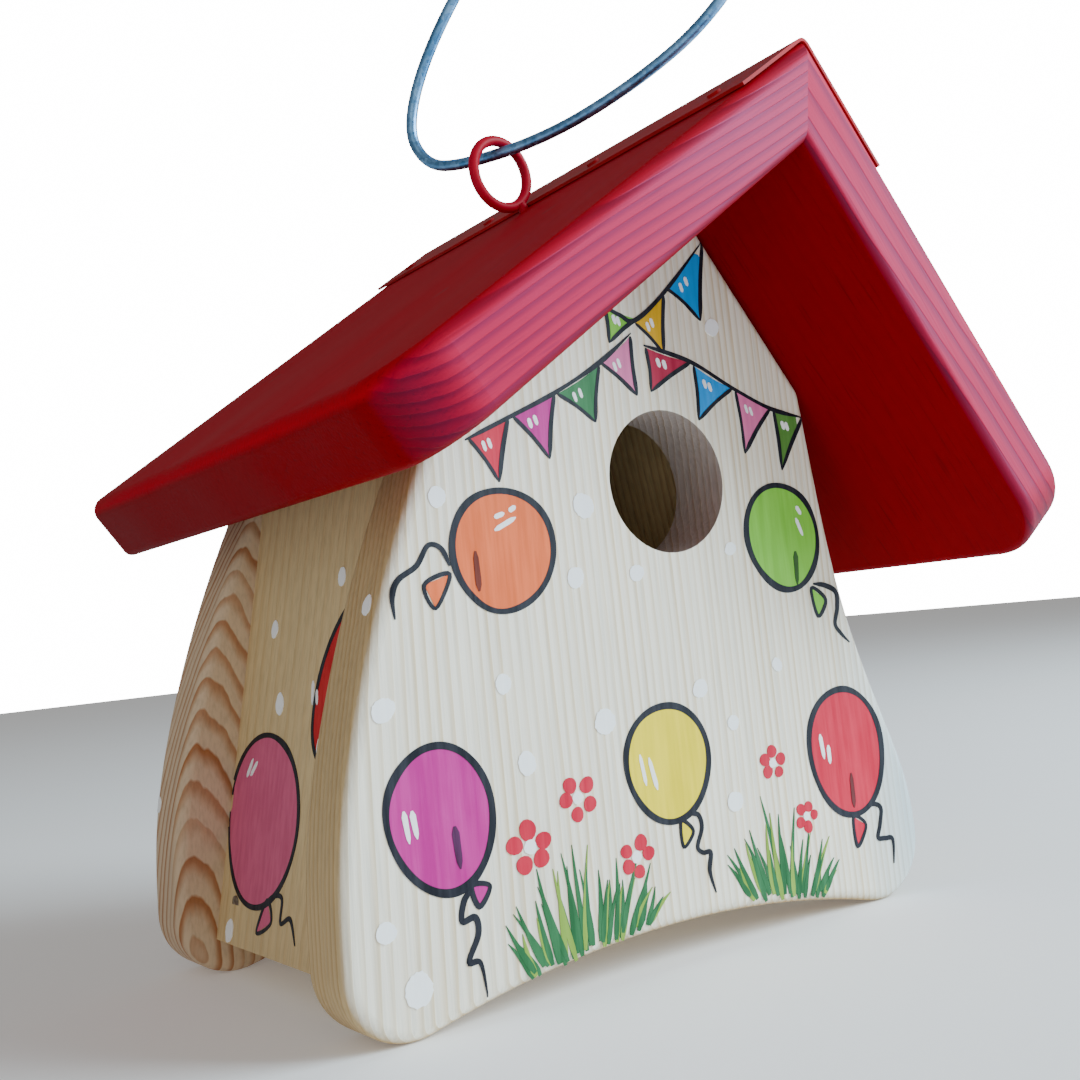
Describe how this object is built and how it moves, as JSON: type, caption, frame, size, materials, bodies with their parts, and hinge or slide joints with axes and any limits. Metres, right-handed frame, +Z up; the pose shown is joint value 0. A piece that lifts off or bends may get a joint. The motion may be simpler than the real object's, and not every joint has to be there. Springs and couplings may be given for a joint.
{
  "type": "birdhouse",
  "caption": "Crooked wooden birdhouse with a painted ridge roof, round entrance, hinged floor hatch and a wire loop hanger.",
  "frame": {"origin": "on the plane of the feet, under the middle of the roof's plan; the entrance hole's axis lies in the plane X = 0", "axes": "+Z up, the front with the entrance faces -Y, +X to the right seen from the front; the ridge runs along Y"},
  "size_m": [0.1892, 0.18, 0.289],
  "materials": {
    "pale_pine": "planed, unvarnished",
    "tan_pine": "planed, unvarnished",
    "crimson_paint": "satin paint over visible grain",
    "dark_red_sheet": "satin",
    "bright_steel": "dull",
    "craft_paint": "brushed acrylic decoration, several colours",
    "galvanised_wire": "galvanised"
  },
  "bodies": {
    "house": {"front_board": "pale_pine", "back_board": "pale_pine", "left_side_panel": "tan_pine", "right_side_panel": "tan_pine", "left_pivot_nail": "bright_steel", "right_pivot_nail": "bright_steel", "turn_button_screw": "bright_steel", "left_roof_board": "crimson_paint", "right_roof_board": "crimson_paint", "ridge_cap": "dark_red_sheet", "left_cap_tacks": "dark_red_sheet", "right_cap_tacks": "dark_red_sheet", "left_roof_nails": "bright_steel", "right_roof_nails": "bright_steel", "front_staples": "bright_steel", "rear_staples": "bright_steel", "screw_eye": "dark_red_sheet"},
    "hatch": {"floor_hatch": "tan_pine"},
    "button": {"turn_button": "bright_steel"},
    "hanger": {"hanger_wire": "galvanised_wire"}
  },
  "joints": [
    {"name": "hanger_swing", "type": "hinge", "parent": "house", "child": "hanger", "pos_m": [-0.0101, -0.001, 0.20569], "axis": [0.9877, 0.1564, 0], "range_deg": [-60, 12]},
    {"name": "hatch_hinge", "type": "hinge", "parent": "house", "child": "hatch", "pos_m": [0, 0.039, 0.018], "axis": [1, 0, 0], "range_deg": [0, 88]},
    {"name": "button_turn", "type": "hinge", "parent": "house", "child": "button", "pos_m": [0.0523, -0.013, 0.0087], "axis": [0, 0, 1], "range_deg": [0, 90]}
  ]
}
